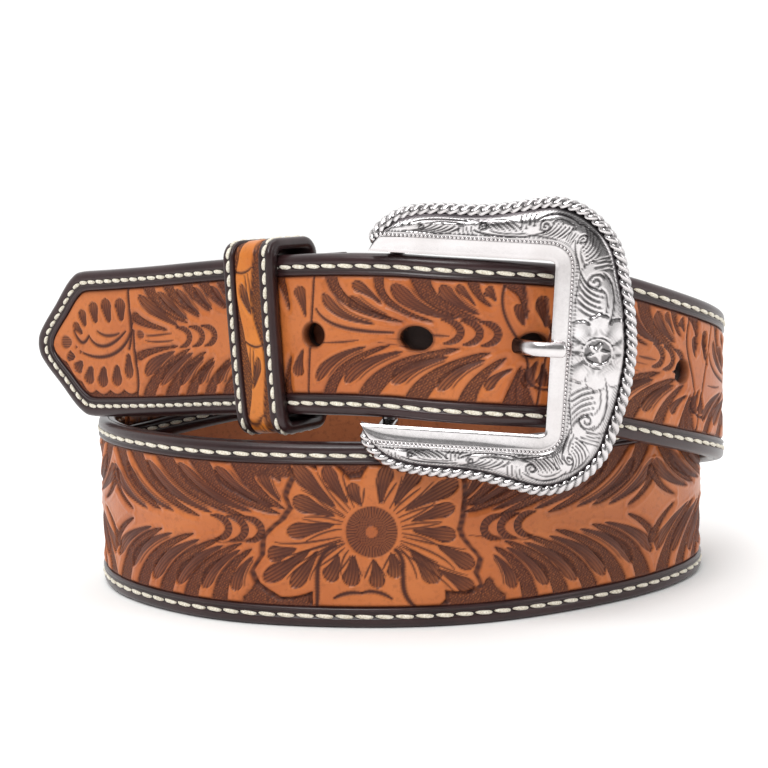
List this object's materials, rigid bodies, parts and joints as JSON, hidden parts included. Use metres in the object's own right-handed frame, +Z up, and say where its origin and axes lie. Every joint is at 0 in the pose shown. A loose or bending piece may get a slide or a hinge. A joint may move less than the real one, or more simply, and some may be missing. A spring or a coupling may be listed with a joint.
{
  "type": "western tooled belt",
  "caption": "Floral tooled leather belt with a roped silver buckle, fastened round its own tip and coiled, standing on its lower edge.",
  "frame": {"origin": "middle of the bottom of the bounding box, on the floor under the coil", "axes": "+X to the buckle's right as seen from the front, +Y away from the viewer, +Z up; the buckle and the tip are at the front, towards -Y"},
  "size_m": [0.1812, 0.1378, 0.1002],
  "materials": {
    "edge_leather": "dark brown dyed and burnished leather, satin",
    "tooled_leather": "tan tooled leather with dark antiquing in the cuts, satin",
    "keeper_leather": "amber tooled leather with dark antiquing, satin",
    "lining_leather": "plain tan lining leather, matt",
    "antique_silver": "antique silver plate, polished high spots and dark recesses",
    "snap_metal": "dark plated metal, satin"
  },
  "bodies": {
    "root": {"strap_face": "edge_leather", "tooled_panel": "tooled_leather", "strap_lining": "lining_leather", "keeper_loop": "edge_leather", "keeper_panel": "keeper_leather", "buckle_frame": "antique_silver", "prong": "antique_silver", "fold_snap_1": "snap_metal", "fold_snap_2": "snap_metal"}
  },
  "joints": []
}
